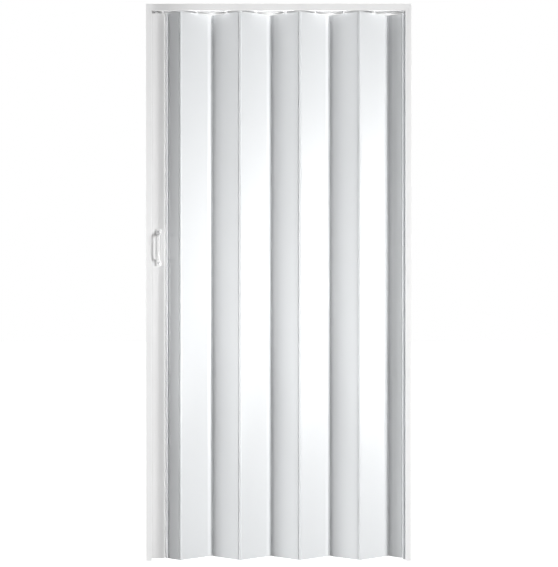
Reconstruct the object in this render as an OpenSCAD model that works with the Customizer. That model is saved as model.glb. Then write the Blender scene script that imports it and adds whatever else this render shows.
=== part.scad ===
// Folding door of hollow plastic panels in a mitred frame, hung from a track.
// X runs along the track, +Y to the back, +Z up, with the origin on the floor in the middle of the opening.

/* [Frame] */
// Overall width of the frame
frame_w = 1000; // [800:10:1200]
// Overall height of the frame
frame_h = 2100; // [1900:10:2300]
// Depth of the jambs and the track, front to back
frame_depth = 42; // [40:1:60]
// Width of a jamb's front face
jamb_face = 22; // [18:1:26]
// Height of the track's front face
track_face = 25; // [22:1:32]
// Wall of the jamb and track profiles
frame_wall = 1.5; // [1.2:0.1:2]
// Width of the slot under the track
slot_w = 14; // [12:1:18]
// Width of the groove along the frame's faces
groove_w = 1.6; // [1:0.2:3]
// Depth of that groove
groove_depth = 0.6; // [0.3:0.1:0.9]
// Radius of a fixing screw's hole
fixing_r = 2.25; // [1.75:0.25:3]
// Distance of a jamb's fixing holes from its middle
fixing_y = 12; // [10:0.5:14]

/* [Panels] */
// Angle between a panel and the track with the door closed
closed_angle = 24; // [16:1:32]
// The same angle with the door folded away
open_angle = 78; // [70:1:79]
// Thickness of a panel
panel_t = 7; // [6:0.5:8]
// Skin and inner webs of a panel
panel_skin = 1; // [0.8:0.1:1.4]
// Gap between the panels and the floor
floor_gap = 5; // [3:1:15]
// Gap between the panels and the track
head_gap = 6; // [5:1:10]

/* [Fold lines] */
// Radius of the bead down a panel's edge
bead_r = 3; // [2.5:0.1:3.4]
// Running clearance round the bead
bead_gap = 0.1; // [0.05:0.05:0.2]
// Wall of the open ring that holds a bead
ring_wall = 2.2; // [1.6:0.1:2.6]
// Thickness of the neck that carries a bead
neck_t = 1.8; // [1.2:0.1:2]

/* [Gliders] */
// Radius of a glider's head
head_r = 9.5; // [8.5:0.5:11]
// Height of a glider's head
head_h = 5; // [3:0.5:7]
// Radius of a glider's stem
stem_r = 4; // [3:0.5:5]
// Thickness of the shoe on top of a panel
shoe_t = 1.5; // [1:0.5:3]
// Length of the plug inside a panel
plug_h = 25; // [15:1:40]

/* [Lead post] */
// Width of the post that shows beside the jamb
post_w = 49; // [46:1:56]
// Thickness of the post
post_t = 20; // [18:1:24]
// Wall of the post
post_wall = 1.6; // [1.2:0.1:2]
// Width of the hollow down the post's faces
dish_w = 40; // [34:1:42]
// Depth of that hollow
dish_depth = 2; // [1:0.5:3]
// Thickness of the tongue that closes into the jamb
tongue_t = 10; // [8:1:14]
// How much shorter the post is than a panel, at each end
post_short = 3; // [1:1:6]

/* [Handle] */
// Height of the handle's middle over the floor
handle_z = 1181; // [900:10:1250]
// Length of the handle
handle_h = 140; // [120:2:180]
// Width of the handle's end pads
pad_w = 20; // [19:1:28]
// Thickness of the end pads
pad_t = 4; // [3:0.5:6]
// Width of the grip
grip_w = 14; // [10:1:18]
// Thickness of the grip
grip_t = 7; // [5:0.5:10]
// Reach of the grip out from the pads' backs
grip_reach = 25; // [20:1:32]
// Radius of a handle screw
screw_r = 2; // [1.5:0.25:2.5]

/* [Catch and corners] */
// Width of the magnet strip in the tongue
magnet_w = 6; // [4:1:7]
// Depth of the magnet strip
magnet_t = 3; // [2:0.5:4]
// Width of the steel strip that it meets
keeper_w = 12; // [10:1:20]
// Thickness of the steel strip
keeper_t = 1; // [0.8:0.1:2]
// Gap between the magnet and the steel strip
catch_gap = 0.3; // [0.2:0.1:1]
// Length of a corner bracket's legs
bracket_leg = 30; // [24:1:40]
// Thickness of a corner bracket
bracket_t = 2; // [1.5:0.5:3]

/* [Hidden] */
$fn = 64;

full_panels = 7;
wall_axis_inset = 4;
post_lap = 2;

// Clearances and laps
mitre_gap = 0.15;
swing_gap = 0.5;
post_neck_slack = 1.2;
relief_gap = 0.3;
mouth_slack = 4;
seat_gap = 0.3;
plug_gap = 0.2;
magnet_gap = 0.1;
screw_gap = 0.2;
thread_gap = 0.1;
handle_gap = 0.05;
bracket_gap = 0.5;
overrun = 1;

// Frame
channel_half = frame_depth / 2 - frame_wall;
track_z = frame_h - track_face;
jamb_edge = frame_w / 2 - jamb_face;
web_x = frame_w / 2 - frame_wall;
web_z = frame_h - frame_wall;
jamb_fixing_z = [for (share = [0.07, 0.36, 0.64, 0.93]) share * frame_h];
track_fixing_x = [for (share = [-0.4, -0.13, 0.13, 0.4]) share * frame_w];
// Length of the cutter for a fixing hole
fixing_cut = 8;
// Place of the groove, as a share of the face's width from its inner edge
groove_place = 0.45;

// Fold lines
ring_in = bead_r + bead_gap;
ring_out = ring_in + ring_wall;
web_bite = ring_in + ring_wall / 2;
body_start = ring_out + swing_gap;
fold_half = 90 - open_angle;
neck_angle = asin(neck_t / 2 / ring_in);
relief_len = (panel_t / 2 + relief_gap) / tan(fold_half);
relief_start = body_start * tan(fold_half) - relief_gap;

// Panels
panel_z = floor_gap;
panel_top = track_z - head_gap;
panel_h = panel_top - panel_z;

// Lead post
post_x0 = -jamb_edge - post_lap;
post_x1 = post_x0 + post_w;
post_mid_x = (-jamb_edge + post_x1) / 2;
post_axis_x = post_x1 + body_start + post_neck_slack;
post_z = panel_z + post_short;
post_top = panel_top - post_short;
post_h = post_top - post_z;
dish_r = (pow(dish_w / 2, 2) + pow(dish_depth, 2)) / (2 * dish_depth);
tongue_x = -web_x + keeper_t + catch_gap;
boss_half = pad_w / 2 - post_wall;
cap_t = 2;

// The panels' width follows from the space between the post's axis and the wall's
wall_axis_x = jamb_edge - wall_axis_inset;
step_x = (wall_axis_x - post_axis_x) / (full_panels + 1);
panel_w = step_x / cos(closed_angle);
swing_y = panel_w / 2 * sin(closed_angle);

// Handle
pad_back = post_t / 2 - dish_depth + (dish_r - sqrt(pow(dish_r, 2) - pow(pad_w / 2, 2))) + handle_gap;
pad_face = pad_back + pad_t;
grip_face = pad_back + grip_reach;
screw_z = handle_h / 2 - pad_w / 2;
riser_lap = 5.5;
pad_end_z = screw_z - pad_w / 2 + riser_lap;
riser = 12;
// Distances from the screw inwards to where a pad starts to narrow and where it is as narrow as the grip
pad_full = 6;
pad_taper = 12;

// Handle screws
screw_head_r = 3.6;
screw_head_h = 1.8;
thread_depth = 3;
cross_w = 0.9;
cross_depth = 1;
cross_len = 1.3 * screw_head_r;

// Fold line j, counted from the wall: 0 is the wall's axis and full_panels + 2 the post's
function axis_x(j) = j == 0 ? wall_axis_x
    : j == full_panels + 2 ? post_axis_x
    : wall_axis_x - (j - 0.5) * step_x;
function axis_y(j) = j == 0 || j == full_panels + 2 ? 0 : (j % 2 == 1 ? swing_y : -swing_y);
// Panels lean back and forward by turns
function strip_turn(j) = 180 + (j % 2 == 0 ? -closed_angle : closed_angle);

// A sector of a disc, from one angle to another
module sector(r, from, to) {
    steps = 12;
    polygon(concat([[0, 0]], [for (i = [0:steps])
        let (a = from + (to - from) * i / steps) [r * cos(a), r * sin(a)]]));
}

// Open ring round a bead, with its own panel towards -X.
// The mouth opens from one angle off that panel to another
module open_ring(mouth_from, mouth_to) {
    difference() {
        circle(r = ring_out);
        circle(r = ring_in);
        sector(2 * ring_out, 180 - mouth_to, 180 - mouth_from);
    }
}

module bead(reach) {
    circle(r = bead_r);
    translate([0, -neck_t / 2]) square([reach, neck_t]);
}

// Outline of a panel between its two fold lines, bead at the origin.
// Each end is relieved on the side that folds shut
module panel_body(len) {
    half = panel_t / 2;
    corner = 1;
    web_step = 0.4;
    web_edge = 0.1;
    polygon([
        [body_start, -relief_start], [relief_len, -half],
        [len - ring_out, -half], [len - web_bite, -half + web_step],
        [len - web_bite, web_edge], [len - body_start, relief_start],
        [len - relief_len, half],
        [body_start + corner, half], [body_start, half - corner]
    ]);
}

module chambers(len, count) {
    start = relief_len + panel_skin;
    w = (len - 2 * start - (count - 1) * panel_skin) / count;
    for (i = [0:count - 1])
        translate([start + i * (w + panel_skin), -panel_t / 2 + panel_skin])
            square([w, panel_t - 2 * panel_skin]);
}

module panel_profile(len, count, mouth_from, mouth_to) {
    difference() {
        union() {
            panel_body(len);
            bead(body_start + overrun);
            translate([len, 0]) open_ring(mouth_from, mouth_to);
        }
        chambers(len, count);
    }
}

// Panel between fold lines j and j + 1
module strip(j, len, count, mouth_from, mouth_to) {
    translate([axis_x(j), axis_y(j), panel_z]) rotate([0, 0, strip_turn(j)])
        linear_extrude(panel_h)
            if (j % 2 == 0) panel_profile(len, count, mouth_from, mouth_to);
            else mirror([0, 1]) panel_profile(len, count, mouth_from, mouth_to);
}

full_chambers = 5;
half_chambers = 2;
// A fold between two panels closes twice as fast as one at the wall or the post
fold_mouth = [2 * fold_half - neck_angle - mouth_slack, 180 - 2 * closed_angle + neck_angle + mouth_slack];
end_mouth = [180 - open_angle - neck_angle - mouth_slack, 180 - closed_angle + neck_angle + mouth_slack];

module full_panel(number) {
    color("gainsboro")
        strip(full_panels + 1 - number, panel_w, full_chambers, fold_mouth[0], fold_mouth[1]);
}

module wall_half_panel() {
    color("gainsboro") strip(0, panel_w / 2, half_chambers, fold_mouth[0], fold_mouth[1]);
}

module lead_half_panel() {
    color("gainsboro")
        strip(full_panels + 1, panel_w / 2, half_chambers, end_mouth[0], end_mouth[1]);
}

// One running head on its stem, standing on base_z
module runner(base_z) {
    seat_z = track_z + frame_wall + seat_gap;
    edge = 1;
    translate([0, 0, base_z]) cylinder(r = stem_r, h = seat_z - base_z + overrun);
    translate([0, 0, seat_z]) {
        cylinder(r = head_r, h = head_h - edge);
        translate([0, 0, head_h - edge]) cylinder(r1 = head_r, r2 = head_r - edge, h = edge);
    }
}

// Glider in the middle of a full panel: its plug fills the middle chamber
module glider(number) {
    j = full_panels + 1 - number;
    start = relief_len + panel_skin;
    chamber_w = (panel_w - 2 * start - (full_chambers - 1) * panel_skin) / full_chambers;
    plug_w = chamber_w - 2 * plug_gap;
    plug_t = panel_t - 2 * panel_skin - 2 * plug_gap;
    shoe_w = chamber_w + 2 * panel_skin;
    color("whitesmoke")
        translate([(axis_x(j) + axis_x(j + 1)) / 2, 0, 0]) rotate([0, 0, strip_turn(j)]) {
            runner(panel_top + shoe_t / 2);
            translate([-shoe_w / 2, -panel_t / 2, panel_top]) cube([shoe_w, panel_t, shoe_t]);
            translate([-plug_w / 2, -plug_t / 2, panel_top - plug_h])
                cube([plug_w, plug_t, plug_h + shoe_t / 2]);
        }
}

// Jamb profile for the right side: a channel open to the left, with a groove down both faces
module jamb_profile() {
    difference() {
        translate([jamb_edge, -frame_depth / 2]) square([jamb_face, frame_depth]);
        translate([jamb_edge - overrun, -channel_half])
            square([jamb_face - frame_wall + overrun, 2 * channel_half]);
        for (side = [-1, 1])
            translate([jamb_edge + jamb_face * groove_place, side * frame_depth / 2])
                square([groove_w, 2 * groove_depth], center = true);
    }
}

// Holes in pairs, clear of what stands in the jamb's middle
module jamb_fixings(x) {
    for (z = jamb_fixing_z) for (y = [-fixing_y, fixing_y])
        translate([x, y, z]) rotate([0, 90, 0]) cylinder(r = fixing_r, h = fixing_cut, center = true);
}

module right_jamb() {
    difference() {
        linear_extrude(frame_h) jamb_profile();
        translate([0, frame_depth, 0]) rotate([90, 0, 0]) linear_extrude(2 * frame_depth)
            polygon([[jamb_edge - overrun, track_z - overrun * track_face / jamb_face],
                     [jamb_edge - overrun, frame_h + overrun],
                     [frame_w / 2 + overrun, frame_h + overrun],
                     [frame_w / 2 + overrun, frame_h + overrun * track_face / jamb_face]]);
        jamb_fixings(web_x);
    }
}

module wall_jamb() { color("white") right_jamb(); }
module strike_jamb() { color("white") mirror([1, 0, 0]) right_jamb(); }

module track_profile() {
    difference() {
        translate([-frame_depth / 2, track_z]) square([frame_depth, track_face]);
        translate([-channel_half, track_z + frame_wall])
            square([2 * channel_half, track_face - 2 * frame_wall]);
        translate([-slot_w / 2, track_z - overrun]) square([slot_w, frame_wall + 2 * overrun]);
        for (side = [-1, 1])
            translate([side * frame_depth / 2, track_z + track_face * groove_place])
                square([2 * groove_depth, groove_w], center = true);
    }
}

module top_track() {
    color("white") difference() {
        intersection() {
            translate([-frame_w / 2, 0, 0]) rotate([90, 0, 90]) linear_extrude(frame_w) track_profile();
            translate([0, frame_depth, 0]) rotate([90, 0, 0]) linear_extrude(2 * frame_depth)
                polygon([[mitre_gap - frame_w / 2, frame_h], [frame_w / 2 - mitre_gap, frame_h],
                         [jamb_edge - mitre_gap, track_z], [mitre_gap - jamb_edge, track_z]]);
        }
        for (x = track_fixing_x)
            translate([x, 0, frame_h]) cylinder(r = fixing_r, h = fixing_cut, center = true);
    }
}

// Angle brackets that join the track's web to the jambs' webs
module right_bracket() {
    side_gap = 4.5;
    width = 2 * (channel_half - side_gap);
    translate([0, width / 2, 0]) rotate([90, 0, 0]) linear_extrude(width)
        polygon([[web_x, web_z], [web_x - bracket_leg, web_z], [web_x - bracket_leg, web_z - bracket_t],
                 [web_x - bracket_t, web_z - bracket_t], [web_x - bracket_t, web_z - bracket_leg],
                 [web_x, web_z - bracket_leg]]);
}

module corner_brackets() {
    color("lightgray") {
        right_bracket();
        mirror([1, 0, 0]) right_bracket();
    }
}

// Strip that stands in the wall jamb up to the bracket, with the open ring for the last half panel
module wall_hinge_strip() {
    foot_t = 2;
    rib_t = 3;
    color("whitesmoke") difference() {
        linear_extrude(web_z - bracket_leg - bracket_gap) {
            translate([wall_axis_x, 0]) mirror([1, 0]) open_ring(end_mouth[0], end_mouth[1]);
            translate([wall_axis_x + web_bite, -rib_t / 2])
                square([web_x - wall_axis_x - web_bite, rib_t]);
            translate([web_x - foot_t, -channel_half]) square([foot_t, 2 * channel_half]);
        }
        jamb_fixings(web_x - foot_t);
    }
}

// Steel strip bonded to the strike jamb's web
module keeper_strip() {
    end_gap = 30;
    color("silver") translate([-web_x, -keeper_w / 2, post_z + end_gap])
        cube([keeper_t, keeper_w, post_h - 2 * end_gap]);
}

module post_outline() {
    difference() {
        union() {
            translate([post_x0, -post_t / 2]) square([post_w, post_t]);
            translate([tongue_x, -tongue_t / 2]) square([post_x0 - tongue_x + overrun, tongue_t]);
            translate([post_axis_x, 0]) rotate(180) bead(post_axis_x - post_x1 + overrun);
        }
        for (side = [-1, 1])
            translate([post_mid_x, side * (post_t / 2 - dish_depth + dish_r)])
                circle(r = dish_r, $fn = 180);
    }
}

// Hollows of the post: one behind the handle, one each side of it and one in the tongue
module post_hollows() {
    mid_half = post_t / 2 - dish_depth - post_wall;
    shallow_side = 0.5;
    side_half = mid_half + shallow_side;
    left = post_x0 + post_wall;
    right = post_x1 - post_wall;
    translate([post_mid_x - boss_half, -mid_half]) square([2 * boss_half, 2 * mid_half]);
    translate([left, -side_half])
        square([post_mid_x - boss_half - post_wall - left, 2 * side_half]);
    translate([post_mid_x + boss_half + post_wall, -side_half])
        square([right - post_mid_x - boss_half - post_wall, 2 * side_half]);
    translate([tongue_x + magnet_t + post_wall, -tongue_t / 2 + post_wall])
        square([post_x0 - tongue_x - magnet_t - 2 * post_wall, tongue_t - 2 * post_wall]);
}

module magnet_groove(gap) {
    translate([tongue_x - gap, -magnet_w / 2 - gap]) square([magnet_t + gap, magnet_w + 2 * gap]);
}

module lead_post() {
    color("whitesmoke") difference() {
        translate([0, 0, post_z]) linear_extrude(post_h) difference() {
            post_outline();
            post_hollows();
            magnet_groove(magnet_gap);
        }
        for (z = [-screw_z, screw_z])
            translate([post_mid_x, 0, handle_z + z]) rotate([90, 0, 0])
                cylinder(r = screw_r + screw_gap, h = 2 * post_t, center = true);
    }
}

// Plug that stands in the post's middle hollow, reaching up or down from z
module post_plug(z) {
    half_w = boss_half - plug_gap;
    half_t = post_t / 2 - dish_depth - post_wall - plug_gap;
    translate([post_mid_x - half_w, -half_t, z]) cube([2 * half_w, 2 * half_t, plug_h]);
}

// Cap on the post's top that carries its two running heads
module post_carriage() {
    spread = 13;
    color("whitesmoke") {
        translate([0, 0, post_top]) linear_extrude(cap_t)
            translate([post_x0, -post_t / 2]) square([post_w, post_t]);
        post_plug(post_top - plug_h);
        for (x = [-spread, spread]) translate([post_mid_x + x, 0, 0]) runner(post_top + cap_t / 2);
    }
}

module post_bottom_cap() {
    color("whitesmoke") {
        translate([post_x0, -post_t / 2, post_z - cap_t]) cube([post_w, post_t, cap_t]);
        post_plug(post_z);
    }
}

module magnet_strip() {
    end_gap = 10;
    color("dimgray") translate([0, 0, post_z + end_gap]) linear_extrude(post_h - 2 * end_gap)
        magnet_groove(0);
}

// Handle seen from the side: pads, risers and grip, as points of Y outwards and Z up
module handle_side() {
    inner = grip_face - grip_t;
    riser_z = pad_end_z - riser;
    polygon([[pad_back, -handle_h / 2], [pad_face, -handle_h / 2], [pad_face, -pad_end_z],
             [grip_face, -riser_z], [grip_face, riser_z], [pad_face, pad_end_z],
             [pad_face, handle_h / 2], [pad_back, handle_h / 2], [pad_back, pad_end_z - pad_t],
             [inner, riser_z - pad_t], [inner, pad_t - riser_z], [pad_back, pad_t - pad_end_z]]);
}

// Handle seen from the front: square pads with their corners cut, drawn in to the grip
module handle_front_view() {
    corner = 2;
    upper = [[grip_w / 2, screw_z - pad_taper], [pad_w / 2, screw_z - pad_full],
             [pad_w / 2, handle_h / 2 - corner], [pad_w / 2 - corner, handle_h / 2]];
    last = len(upper) - 1;
    polygon(concat(upper, [for (i = [last:-1:0]) [-upper[i][0], upper[i][1]]],
                   [for (i = [0:last]) -upper[i]], [for (i = [last:-1:0]) [upper[i][0], -upper[i][1]]]));
}

module handle_shape() {
    intersection() {
        translate([-pad_w, 0, 0]) rotate([90, 0, 90]) linear_extrude(2 * pad_w) handle_side();
        translate([0, 2 * grip_face, 0]) rotate([90, 0, 0]) linear_extrude(2 * grip_face)
            handle_front_view();
    }
}

// The screws pass through the front handle and end in blind holes in the rear one
module front_handle() {
    color("white") translate([post_mid_x, 0, handle_z]) difference() {
        mirror([0, 1, 0]) handle_shape();
        for (z = [-screw_z, screw_z])
            translate([0, 0, z]) rotate([90, 0, 0]) cylinder(r = screw_r + screw_gap, h = 2 * grip_face);
    }
}

module rear_handle() {
    color("white") translate([post_mid_x, 0, handle_z]) difference() {
        handle_shape();
        for (z = [-screw_z, screw_z])
            translate([0, 0, z]) rotate([-90, 0, 0])
                cylinder(r = screw_r + thread_gap, h = pad_back + thread_depth + screw_gap);
    }
}

module handle_screws() {
    color("silver") for (z = [-screw_z, screw_z])
        translate([post_mid_x, 0, handle_z + z]) difference() {
            union() {
                rotate([90, 0, 0]) translate([0, 0, pad_face]) cylinder(r = screw_head_r, h = screw_head_h);
                rotate([90, 0, 0]) translate([0, 0, -pad_back - thread_depth])
                    cylinder(r = screw_r, h = pad_face + pad_back + thread_depth + screw_head_h / 2);
            }
            for (turn = [0, 90])
                translate([0, -pad_face - screw_head_h, 0]) rotate([0, turn, 0])
                    cube([cross_w, 2 * cross_depth, cross_len], center = true);
        }
}

top_track();
strike_jamb();
wall_jamb();
corner_brackets();
wall_hinge_strip();
keeper_strip();
wall_half_panel();
lead_half_panel();
for (number = [1:full_panels]) {
    full_panel(number);
    glider(number);
}
lead_post();
post_carriage();
post_bottom_cap();
magnet_strip();
front_handle();
rear_handle();
handle_screws();
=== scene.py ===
"""Looks of an accordion door.

Finishes for its panels, frame and fittings, two moulded handles and a white studio.
"""

import math

import bmesh
import bpy
from bpy.props import FloatProperty, FloatVectorProperty, IntProperty, PointerProperty
from bpy.types import Operator, Panel, PropertyGroup
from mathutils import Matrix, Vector


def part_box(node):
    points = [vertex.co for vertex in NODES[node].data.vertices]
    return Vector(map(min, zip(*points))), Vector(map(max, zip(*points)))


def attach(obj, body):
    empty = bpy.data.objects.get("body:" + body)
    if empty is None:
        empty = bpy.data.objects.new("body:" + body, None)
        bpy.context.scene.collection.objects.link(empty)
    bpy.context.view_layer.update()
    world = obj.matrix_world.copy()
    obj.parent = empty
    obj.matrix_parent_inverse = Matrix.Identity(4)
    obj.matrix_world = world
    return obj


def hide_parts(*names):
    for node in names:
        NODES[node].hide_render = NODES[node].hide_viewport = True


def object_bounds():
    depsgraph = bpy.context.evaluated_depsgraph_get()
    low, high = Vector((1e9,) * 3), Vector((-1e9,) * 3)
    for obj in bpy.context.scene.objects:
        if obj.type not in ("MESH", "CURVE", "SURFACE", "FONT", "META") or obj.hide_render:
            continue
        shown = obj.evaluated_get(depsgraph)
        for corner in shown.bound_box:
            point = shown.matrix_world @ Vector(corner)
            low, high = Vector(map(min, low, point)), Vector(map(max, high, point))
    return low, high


bl_info = {
    "name": "Accordion Door Looks",
    "version": (1, 0, 0),
    "blender": (4, 5, 0),
    "location": "View3D > Sidebar > Door",
    "description": "Finishes, handles and studio for a folding door",
    "category": "Object",
}

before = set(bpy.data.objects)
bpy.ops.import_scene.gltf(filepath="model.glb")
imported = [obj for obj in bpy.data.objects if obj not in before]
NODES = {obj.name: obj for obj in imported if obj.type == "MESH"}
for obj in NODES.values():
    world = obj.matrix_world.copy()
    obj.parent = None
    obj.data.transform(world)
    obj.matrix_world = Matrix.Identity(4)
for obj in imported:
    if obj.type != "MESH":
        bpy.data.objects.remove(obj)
CAD_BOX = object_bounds()

MM = 0.001
DOOR_LEFT = CAD_BOX[0][0]
DOOR_TOP = CAD_BOX[1][2]
DOOR_MIDDLE = DOOR_TOP / 2
FRONT_LOW, FRONT_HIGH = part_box("front_handle")
REAR_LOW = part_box("rear_handle")[0]
HANDLE_X = (FRONT_LOW.x + FRONT_HIGH.x) / 2
HANDLE_Z = (FRONT_LOW.z + FRONT_HIGH.z) / 2
HANDLE_REACH = FRONT_HIGH.y - FRONT_LOW.y
PAD_HALF = (FRONT_HIGH.x - FRONT_LOW.x) / 2
HANDLE_HALF = (FRONT_HIGH.z - FRONT_LOW.z) / 2

FULL_PANELS = [f"panel_{k}" for k in range(1, 8)]
HALF_PANELS = ["wall_half_panel", "lead_half_panel"]
FOLDING = FULL_PANELS + HALF_PANELS + ["wall_hinge_strip"]
GLIDERS = [f"glider_{k}" for k in range(1, 8)]
NYLON_PIECES = GLIDERS + ["post_carriage", "post_bottom_cap", "corner_brackets"]
# Each piece of the frame and the axis it is extruded along
FRAME_PIECES = {"strike_jamb": "Z", "wall_jamb": "Z", "top_track": "X"}

FRAME_ROUGHNESS = 0.4
STEEL = (0.6, 0.6, 0.62)
MAGNET = (0.05, 0.045, 0.04)
WHITE = (1, 1, 1, 1)

# Most values of a noise lie between these two
NOISE_LOW = 0.3
NOISE_HIGH = 0.7

# Edges that turn by more than this are rounded
SHARP_TURN = math.radians(35)
ROUND_SEGMENTS = 2
WELD_DISTANCE = 0.001 * MM

# Radii of the moulded handles: seen from the front, where they touch the post, and round the pads' faces
PAD_CORNER = 2 * MM
SEAT_EDGE = 0.4 * MM
PAD_EDGE = 1.3 * MM
# How much further the outer face's rise reaches at each end
RISER_MARGIN = 1 * MM
# What the handles' outermost sections keep from the box
HANDLE_TIP = 0.3 * MM
# Steps in each rounded corner of a section
CORNER_STEPS = 4

# Where the key and fill lights stand: degrees to the right of each face's middle, and metres
KEY_AZIMUTH = 57
KEY_DISTANCE = 10
FILL_AZIMUTH = -75.5
FILL_DISTANCE = 20
# Metres from the grip to its own light
GRIP_LIGHT_DISTANCE = 4
# Width of the camera's sensor in millimetres
SENSOR_WIDTH = 36


class PlasticFinish(PropertyGroup):
    """Colours, gloss and edges of the plastic pieces."""

    panel_colour: FloatVectorProperty(
        name="Panel colour", description="Colour of the panels", subtype="COLOR",
        default=(0.787, 0.804, 0.817), min=0, max=1)
    frame_colour: FloatVectorProperty(
        name="Frame colour", description="Colour of the jambs, the track and the post", subtype="COLOR",
        default=(0.95, 0.95, 0.95), min=0, max=1)
    handle_colour: FloatVectorProperty(
        name="Handle colour", description="Colour of the moulded handles", subtype="COLOR",
        default=(0.93, 0.93, 0.93), min=0, max=1)
    fitting_colour: FloatVectorProperty(
        name="Fitting colour", description="Colour of gliders, caps and brackets", subtype="COLOR",
        default=(0.72, 0.72, 0.72), min=0, max=1)
    panel_roughness: FloatProperty(
        name="Panel roughness", description="How soft the reflections of the panels and the post are",
        subtype="FACTOR", default=0.36, min=0, max=1)
    streak_width: FloatProperty(
        name="Streak width", description="Width of the fine lines that the die leaves", unit="LENGTH",
        default=2.5 * MM, min=0.5 * MM, max=10 * MM)
    streak_depth: FloatProperty(
        name="Streak depth", description="Depth of those lines", unit="LENGTH",
        default=0.02 * MM, min=0, max=0.2 * MM)
    edge_round: FloatProperty(
        name="Edge rounding", description="Radius along the pieces' edges, half of it on metal",
        unit="LENGTH", default=0.3 * MM, min=0, max=1 * MM)


class HandleShape(PropertyGroup):
    """Form of the moulded handles, which keep the places and the box of the CAD handles."""

    pad_thickness: FloatProperty(
        name="Pad thickness", description="Thickness of the pads under the screws", unit="LENGTH",
        default=4 * MM, min=2 * MM, max=6 * MM)
    grip_thickness: FloatProperty(
        name="Grip thickness", description="Thickness of the grip", unit="LENGTH",
        default=7 * MM, min=4 * MM, max=12 * MM)
    grip_width: FloatProperty(
        name="Grip width", description="Width of the grip", unit="LENGTH",
        default=14 * MM, min=8 * MM, max=20 * MM)
    pad_length: FloatProperty(
        name="Pad length", description="Length of a flat pad, from the handle's end", unit="LENGTH",
        default=14.5 * MM, min=10 * MM, max=30 * MM)
    riser_length: FloatProperty(
        name="Riser length", description="Length over which the handle rises from pad to grip", unit="LENGTH",
        default=12 * MM, min=6 * MM, max=30 * MM)
    grip_round: FloatProperty(
        name="Grip rounding", description="Radius along the grip's edges", unit="LENGTH",
        default=2.6 * MM, min=0.5 * MM, max=3.4 * MM)
    rings: IntProperty(
        name="Rings", description="Cross-sections along a handle", default=96, min=24, max=200)


class StudioSetup(PropertyGroup):
    """Camera, lights and flag."""

    camera_place: FloatVectorProperty(
        name="Camera place", description="Where the camera stands", subtype="TRANSLATION",
        default=(0.0015, -3.256, 1.0457))
    lens: FloatProperty(
        name="Lens", description="Focal length in millimetres", unit="CAMERA", default=54.5, min=20, max=200)
    key_power: FloatProperty(
        name="Key power", description="Light from the right of each face", unit="POWER",
        default=74, min=0, max=1000)
    fill_power: FloatProperty(
        name="Fill power", description="Grazing light from the left of each face", unit="POWER",
        default=203, min=0, max=1000)
    front_power: FloatProperty(
        name="Front power", description="Long low light behind the camera", unit="POWER",
        default=17, min=0, max=1000)
    top_power: FloatProperty(
        name="Top power", description="Light from above and behind, for the track's top", unit="POWER",
        default=40, min=0, max=1000)
    track_power: FloatProperty(
        name="Track power", description="Narrow light from the floor to the track's underside", unit="POWER",
        default=0.45, min=0, max=10)
    grip_power: FloatProperty(
        name="Grip power", description="Small light that the front handle mirrors to the camera",
        unit="POWER", default=0.012, min=0, max=1)
    surround: FloatProperty(
        name="Surround", description="Brightness of the room's light", default=0.08, min=0, max=2)
    flag_start: FloatProperty(
        name="Flag start", description="Distance from the track's middle plane to the post's flag",
        unit="LENGTH", default=32 * MM, min=22 * MM, max=100 * MM)
    flag_width: FloatProperty(
        name="Flag width", description="Width of that flag, front to back", unit="LENGTH",
        default=27 * MM, min=1 * MM, max=100 * MM)


def new_finish(name, colour, roughness, metallic=0):
    """A plain finish: its material, its node tree and its shader."""
    material = bpy.data.materials.new(name)
    material.use_nodes = True
    tree = material.node_tree
    shader = tree.nodes["Principled BSDF"]
    shader.inputs["Base Color"].default_value = (*colour, 1)
    shader.inputs["Roughness"].default_value = roughness
    shader.inputs["Metallic"].default_value = metallic
    return material, tree, shader


def stretched_noise(tree, scale, detail=2):
    """Noise in the piece's own coordinates, with its own scale along each axis."""
    place = tree.nodes.new("ShaderNodeTexCoord")
    mapping = tree.nodes.new("ShaderNodeMapping")
    mapping.inputs["Scale"].default_value = scale
    noise = tree.nodes.new("ShaderNodeTexNoise")
    noise.inputs["Scale"].default_value = 1
    noise.inputs["Detail"].default_value = detail
    tree.links.new(place.outputs["Object"], mapping.inputs["Vector"])
    tree.links.new(mapping.outputs["Vector"], noise.inputs["Vector"])
    return noise.outputs["Fac"]


def vary(tree, pattern, target, low, high):
    """Drives a shader's number between low and high by a pattern."""
    spread = tree.nodes.new("ShaderNodeMapRange")
    spread.inputs["From Min"].default_value = NOISE_LOW
    spread.inputs["From Max"].default_value = NOISE_HIGH
    spread.inputs["To Min"].default_value = low
    spread.inputs["To Max"].default_value = high
    tree.links.new(pattern, spread.inputs["Value"])
    tree.links.new(spread.outputs["Result"], target)


def tint(tree, pattern, shader, colour, change):
    """Lets the base colour wander a little about its own value."""
    mix = tree.nodes.new("ShaderNodeMix")
    mix.data_type = "RGBA"
    mix.inputs["A"].default_value = (*[c * (1 - change) for c in colour], 1)
    mix.inputs["B"].default_value = (*[min(1, c * (1 + change)) for c in colour], 1)
    tree.links.new(pattern, mix.inputs["Factor"])
    tree.links.new(mix.outputs["Result"], shader.inputs["Base Color"])


def wander(tree, pattern, shader, colour, roughness, gloss_change, colour_change):
    """Lets a finish's roughness and colour both follow a pattern about their own values."""
    vary(tree, pattern, shader.inputs["Roughness"], roughness - gloss_change, roughness + gloss_change)
    tint(tree, pattern, shader, colour, colour_change)


def relief(tree, pattern, shader, depth):
    """Turns a pattern into fine relief of that depth."""
    bump = tree.nodes.new("ShaderNodeBump")
    bump.inputs["Strength"].default_value = 1
    bump.inputs["Distance"].default_value = depth
    tree.links.new(pattern, bump.inputs["Height"])
    tree.links.new(bump.outputs["Normal"], shader.inputs["Normal"])


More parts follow.
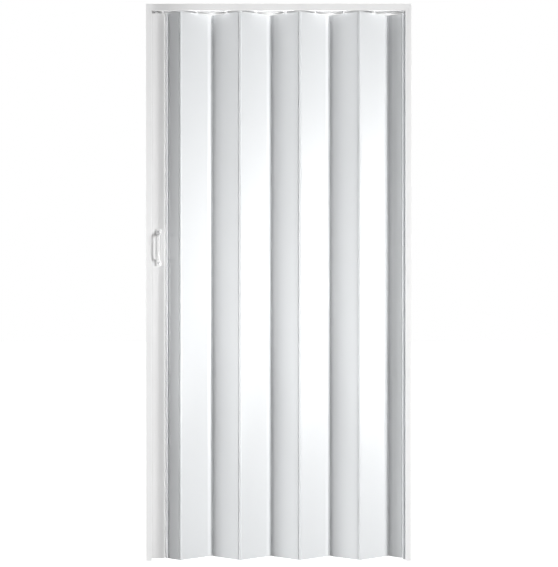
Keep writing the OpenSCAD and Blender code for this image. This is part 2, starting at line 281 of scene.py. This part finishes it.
def extruded_plastic(name, colour, roughness, look, along="Z"):
    """Hard plastic from a die: fine lines along the extrusion, faint clouds in gloss and colour."""
    material, tree, shader = new_finish(name, colour, roughness)
    across = 1 / look.streak_width
    lengthwise = 0.8
    scale = {"X": (lengthwise, across, across), "Z": (across, across, lengthwise)}[along]
    relief(tree, stretched_noise(tree, scale), shader, look.streak_depth)
    clouds = stretched_noise(tree, (6, 6, 3))
    wander(tree, clouds, shader, colour, roughness, gloss_change=0.03, colour_change=0.006)
    return material


def moulded_plastic(name, colour, roughness, grain=1500, depth=0.01 * MM):
    """Injection-moulded plastic with a fine spark-eroded grain."""
    material, tree, shader = new_finish(name, colour, roughness)
    relief(tree, stretched_noise(tree, (grain, grain, grain), detail=3), shader, depth)
    clouds = stretched_noise(tree, (40, 40, 40))
    wander(tree, clouds, shader, colour, roughness, gloss_change=0.04, colour_change=0.01)
    return material


def worked_steel(name, roughness, scale):
    """Steel with fine tool marks, drawn out along the axis where their scale is small."""
    material, tree, shader = new_finish(name, STEEL, roughness, metallic=1)
    marks = stretched_noise(tree, scale, detail=4)
    relief(tree, marks, shader, 0.01 * MM)
    wander(tree, marks, shader, STEEL, roughness, gloss_change=0.1, colour_change=0.06)
    return material


def put_on(nodes, material):
    """Gives CAD nodes a finish."""
    for name in nodes:
        for place in NODES[name].material_slots:
            place.material = material


def round_edges(nodes, radius):
    """Rounds the sharp edges of CAD nodes with modifiers, leaving their meshes as they are."""
    for name in nodes:
        weld = NODES[name].modifiers.new("Join corners", "WELD")
        weld.merge_threshold = WELD_DISTANCE
        bevel = NODES[name].modifiers.new("Round edges", "BEVEL")
        bevel.width = radius
        bevel.segments = ROUND_SEGMENTS
        bevel.limit_method = "ANGLE"
        bevel.angle_limit = SHARP_TURN
        flats = NODES[name].modifiers.new("Keep flats flat", "WEIGHTED_NORMAL")
        flats.keep_sharp = True


def smooth_step(value, start, end):
    """0 before start, 1 after end and a smooth rise between."""
    t = min(1, max(0, (value - start) / (end - start)))
    return t * t * (3 - 2 * t)


def handle_section(z, shape):
    """Half width, inner depth, outer depth and edge radii of a handle at a distance z from its middle."""
    away = abs(z)
    pad_end = HANDLE_HALF - shape.pad_length
    riser_end = pad_end - shape.riser_length
    left = min(PAD_CORNER, HANDLE_HALF - away)
    cut = PAD_CORNER - math.sqrt(PAD_CORNER ** 2 - (PAD_CORNER - left) ** 2)
    bar_half = shape.grip_width / 2
    neck = shape.riser_length / 2
    half_width = bar_half + (PAD_HALF - bar_half) * smooth_step(away, pad_end - neck, pad_end) - cut
    rise = 1 - smooth_step(away, riser_end - RISER_MARGIN, pad_end + RISER_MARGIN)
    under_rise = 1 - smooth_step(away, riser_end - shape.pad_thickness, pad_end - shape.pad_thickness)
    outer = shape.pad_thickness + (HANDLE_REACH - shape.pad_thickness) * rise - cut / 2
    inner = (HANDLE_REACH - shape.grip_thickness) * under_rise
    inner_round = SEAT_EDGE + (shape.grip_round - SEAT_EDGE) * under_rise
    outer_round = PAD_EDGE + (shape.grip_round - PAD_EDGE) * rise
    return half_width, inner, outer, inner_round, outer_round


def section_points(half_width, inner, outer, inner_round, outer_round):
    """An oblong with rounded corners, as pairs of x and depth."""
    corners = ((1, outer, -1, outer_round), (-1, outer, -1, outer_round),
               (-1, inner, 1, inner_round), (1, inner, 1, inner_round))
    points = []
    for quarter, (side, depth, inwards, radius) in enumerate(corners):
        centre_x = side * (half_width - radius)
        centre_depth = depth + inwards * radius
        for i in range(CORNER_STEPS + 1):
            a = math.pi / 2 * (quarter + i / CORNER_STEPS)
            points.append((centre_x + radius * math.cos(a), centre_depth + radius * math.sin(a)))
    return points


def make_handle(name, side, back, shape):
    """Lofts a pull handle. side is -1 at the front and 1 at the rear, back the plane of its pads."""
    mesh = bmesh.new()
    rings = []
    for ring in range(shape.rings + 1):
        # The sections stand closer together towards the two ends
        share = ring / shape.rings - 0.5
        z = (HANDLE_HALF - HANDLE_TIP) * (share + math.sin(math.pi * share) / 2)
        rings.append([mesh.verts.new((HANDLE_X + x, back + side * depth, HANDLE_Z + z))
                      for x, depth in section_points(*handle_section(z, shape))])
    for low, high in zip(rings, rings[1:]):
        for i in range(len(low)):
            j = (i + 1) % len(low)
            mesh.faces.new((low[i], low[j], high[j], high[i]))
    mesh.faces.new(rings[0][::-1])
    mesh.faces.new(rings[-1])
    bmesh.ops.recalc_face_normals(mesh, faces=mesh.faces)
    for face in mesh.faces:
        face.smooth = True
    data = bpy.data.meshes.new(name)
    mesh.to_mesh(data)
    mesh.free()
    handle = bpy.data.objects.new(name, data)
    bpy.context.scene.collection.objects.link(handle)
    smooth = handle.modifiers.new("Smooth", "SUBSURF")
    smooth.levels = 1
    smooth.render_levels = 1
    return handle


def studio_card(name, corners):
    """A flat card of the studio, from its four corners."""
    mesh = bpy.data.meshes.new(name)
    mesh.from_pydata(corners, [], [(0, 1, 2, 3)])
    card = bpy.data.objects.new(name, mesh)
    bpy.context.scene.collection.objects.link(card)
    return card


def area_light(name, place, target, size, power, spread=180):
    """A soft oblong light at place, turned to target. Its light spreads over that many degrees."""
    lamp = bpy.data.lights.new(name, "AREA")
    lamp.shape = "RECTANGLE"
    lamp.size, lamp.size_y = size
    lamp.energy = power
    lamp.spread = math.radians(spread)
    light = bpy.data.objects.new(name, lamp)
    light.location = place
    light.rotation_euler = (Vector(target) - Vector(place)).to_track_quat("-Z", "Y").to_euler()
    bpy.context.scene.collection.objects.link(light)


def round_place(azimuth, distance):
    """A place round the door at half its height: azimuth 0 is straight in front and 90 to the right."""
    a = math.radians(azimuth)
    return (distance * math.sin(a), -distance * math.cos(a), DOOR_MIDDLE)


def glow_towards_back(tree, shader, start, end, low, high):
    """Lets the floor's own glow rise along Y, as a lit backdrop does."""
    place = tree.nodes.new("ShaderNodeTexCoord")
    parts = tree.nodes.new("ShaderNodeSeparateXYZ")
    ramp = tree.nodes.new("ShaderNodeMapRange")
    ramp.interpolation_type = "SMOOTHSTEP"
    ramp.inputs["From Min"].default_value = start
    ramp.inputs["From Max"].default_value = end
    ramp.inputs["To Min"].default_value = low
    ramp.inputs["To Max"].default_value = high
    tree.links.new(place.outputs["Object"], parts.inputs["Vector"])
    tree.links.new(parts.outputs["Y"], ramp.inputs["Value"])
    tree.links.new(ramp.outputs["Result"], shader.inputs["Emission Strength"])


def add_floor():
    """A wide white floor just under the door, with a glow of its own."""
    span = 12
    drop = 1 * MM
    ground = studio_card("floor", [(-span, -span, 0), (span, -span, 0), (span, span, 0), (-span, span, 0)])
    ground.location.z = -drop
    material, tree, shader = new_finish("White floor", (0.8, 0.8, 0.8), 0.9)
    shader.inputs["Emission Color"].default_value = WHITE
    vary(tree, stretched_noise(tree, (3, 3, 3)), shader.inputs["Roughness"], low=0.85, high=0.95)
    glow_towards_back(tree, shader, start=-0.6, end=-0.12, low=0.85, high=1)
    ground.data.materials.append(material)
    ground.visible_diffuse = False


def add_flag(studio):
    """A narrow black flag before the left jamb, which keeps the fill light off the post."""
    gap = 6 * MM
    rise = 0.1
    x = DOOR_LEFT - gap
    near = -studio.flag_start
    far = near - studio.flag_width
    top = DOOR_TOP + rise
    flag = studio_card("flag", [(x, near, 0), (x, far, 0), (x, far, top), (x, near, top)])
    cloth, tree, shader = new_finish("Black cloth", (0.02, 0.02, 0.02), 0.95)
    vary(tree, stretched_noise(tree, (400, 400, 400)), shader.inputs["Roughness"], low=0.9, high=1)
    flag.data.materials.append(cloth)
    flag.visible_camera = False


def add_lights(studio):
    """A key and a fill light for each face, and four smaller lights for the front, top, track and grip."""
    for side, turn, aim_x in (("front", 0, -0.5), ("back", 180, 0.5)):
        area_light(f"Key light {side}", round_place(turn + KEY_AZIMUTH, KEY_DISTANCE),
                   (aim_x, 0, DOOR_MIDDLE), size=(2.8, 2), power=studio.key_power, spread=48)
        area_light(f"Fill light {side}", round_place(turn + FILL_AZIMUTH, FILL_DISTANCE),
                   (0, 0, 0), size=(6.8, 2), power=studio.fill_power, spread=40)
    area_light("Front light", (0, -4, DOOR_MIDDLE), (0, 0, DOOR_MIDDLE), size=(2.6, 0.5),
               power=studio.front_power)
    area_light("Top light", (0, 0.6, 4.5), (0, 0, DOOR_TOP), size=(2, 1), power=studio.top_power)
    area_light("Track light", (0, -0.09, 0.02), (0, -0.005, DOOR_TOP), size=(0.86, 0.05),
               power=studio.track_power, spread=12)
    # The camera sees this light mirrored in the grip's flat front
    grip = Vector((HANDLE_X, FRONT_LOW.y, HANDLE_Z))
    seen_from = Vector(studio.camera_place) - grip
    towards = Vector((-seen_from.x, seen_from.y, -seen_from.z)).normalized()
    area_light("Grip light", grip + GRIP_LIGHT_DISTANCE * towards, grip, size=(0.3, 0.3),
               power=studio.grip_power, spread=10)


def white_room(studio):
    """A world that looks white and gives only a little light."""
    world = bpy.data.worlds.new("White room")
    world.use_nodes = True
    nodes = world.node_tree.nodes
    links = world.node_tree.links
    room = nodes["Background"]
    room.inputs["Color"].default_value = WHITE
    room.inputs["Strength"].default_value = studio.surround
    seen = nodes.new("ShaderNodeBackground")
    seen.inputs["Color"].default_value = WHITE
    path = nodes.new("ShaderNodeLightPath")
    mix = nodes.new("ShaderNodeMixShader")
    links.new(path.outputs["Is Camera Ray"], mix.inputs["Fac"])
    links.new(room.outputs["Background"], mix.inputs[1])
    links.new(seen.outputs["Background"], mix.inputs[2])
    links.new(mix.outputs["Shader"], nodes["World Output"].inputs["Surface"])
    return world


def add_camera(studio):
    """A camera that looks straight at the door's front."""
    camera = bpy.data.cameras.new("Camera")
    camera.lens = studio.lens
    camera.sensor_width = SENSOR_WIDTH
    viewer = bpy.data.objects.new("Camera", camera)
    viewer.location = studio.camera_place
    viewer.rotation_euler = (math.radians(90), 0, 0)
    bpy.context.scene.collection.objects.link(viewer)
    return viewer


class DOOR_OT_panels(Operator):
    """Finish the panels and the strip they hang from"""

    bl_idname = "door.panels"
    bl_label = "Panels"

    def execute(self, context):
        look = context.scene.door_plastic
        put_on(FOLDING, extruded_plastic("Panel plastic", look.panel_colour, look.panel_roughness, look))
        round_edges(FOLDING, look.edge_round)
        return {"FINISHED"}


class DOOR_OT_surround(Operator):
    """Finish the jambs and the track"""

    bl_idname = "door.surround"
    bl_label = "Frame"

    def execute(self, context):
        look = context.scene.door_plastic
        for name, along in FRAME_PIECES.items():
            put_on([name], extruded_plastic(f"Frame plastic {name}", look.frame_colour, FRAME_ROUGHNESS,
                                            look, along))
        round_edges(FRAME_PIECES, look.edge_round)
        return {"FINISHED"}


class DOOR_OT_post(Operator):
    """Finish the lead post and its magnet"""

    bl_idname = "door.post"
    bl_label = "Lead post"

    def execute(self, context):
        look = context.scene.door_plastic
        put_on(["lead_post"], extruded_plastic("Post plastic", look.frame_colour, look.panel_roughness, look))
        put_on(["magnet_strip"], moulded_plastic("Magnet strip", MAGNET, roughness=0.7, grain=900))
        round_edges(["lead_post", "magnet_strip"], look.edge_round)
        return {"FINISHED"}


class DOOR_OT_fittings(Operator):
    """Finish the gliders, caps, brackets and metal"""

    bl_idname = "door.fittings"
    bl_label = "Fittings"

    def execute(self, context):
        look = context.scene.door_plastic
        put_on(NYLON_PIECES, moulded_plastic("Glider nylon", look.fitting_colour, roughness=0.5))
        round_edges(NYLON_PIECES, look.edge_round)
        put_on(["keeper_strip"], worked_steel("Keeper steel", roughness=0.35, scale=(900, 900, 6)))
        put_on(["handle_screws"], worked_steel("Screw steel", roughness=0.5, scale=(2500, 2500, 2500)))
        round_edges(["keeper_strip", "handle_screws"], look.edge_round / 2)
        return {"FINISHED"}


class DOOR_OT_handles(Operator):
    """Model the moulded handles in the places of the CAD handles"""

    bl_idname = "door.handles"
    bl_label = "Handles"

    def execute(self, context):
        look = context.scene.door_plastic
        shape = context.scene.door_handle
        plastic = moulded_plastic("Handle plastic", look.handle_colour, roughness=0.16, grain=1200,
                                  depth=0.002 * MM)
        for name, node, side, back in (("front_pull", "front_handle", -1, FRONT_HIGH.y),
                                       ("rear_pull", "rear_handle", 1, REAR_LOW.y)):
            handle = make_handle(name, side, back, shape)
            handle.data.materials.append(plastic)
            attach(handle, "post")
            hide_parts(node)
        return {"FINISHED"}


class DOOR_OT_studio(Operator):
    """Build the floor, the flag, the lights, the white room and the camera"""

    bl_idname = "door.studio"
    bl_label = "Studio"

    def execute(self, context):
        studio = context.scene.door_studio
        add_floor()
        add_flag(studio)
        add_lights(studio)
        context.scene.world = white_room(studio)
        context.scene.camera = add_camera(studio)
        context.scene.view_settings.view_transform = "Standard"
        return {"FINISHED"}


class DOOR_PT_looks(Panel):
    """Sidebar panel of the door's looks"""

    bl_idname = "DOOR_PT_looks"
    bl_label = "Accordion door"
    bl_space_type = "VIEW_3D"
    bl_region_type = "UI"
    bl_category = "Door"

    def draw(self, context):
        for group in (context.scene.door_plastic, context.scene.door_handle, context.scene.door_studio):
            box = self.layout.box()
            for key in group.bl_rna.properties.keys():
                if key not in {"rna_type", "name"}:
                    box.prop(group, key)
        for step in STEPS:
            self.layout.operator(step.bl_idname)


GROUPS = {"door_plastic": PlasticFinish, "door_handle": HandleShape, "door_studio": StudioSetup}
STEPS = (DOOR_OT_panels, DOOR_OT_surround, DOOR_OT_post, DOOR_OT_fittings, DOOR_OT_handles, DOOR_OT_studio)


def register():
    for item in (*GROUPS.values(), *STEPS, DOOR_PT_looks):
        bpy.utils.register_class(item)
    for name, group in GROUPS.items():
        setattr(bpy.types.Scene, name, PointerProperty(type=group))


def unregister():
    for name in GROUPS:
        delattr(bpy.types.Scene, name)
    for item in reversed((*GROUPS.values(), *STEPS, DOOR_PT_looks)):
        bpy.utils.unregister_class(item)


def main():
    register()
    bpy.ops.door.panels()
    bpy.ops.door.surround()
    bpy.ops.door.post()
    bpy.ops.door.fittings()
    bpy.ops.door.handles()
    bpy.ops.door.studio()


if __name__ == "__main__":
    main()
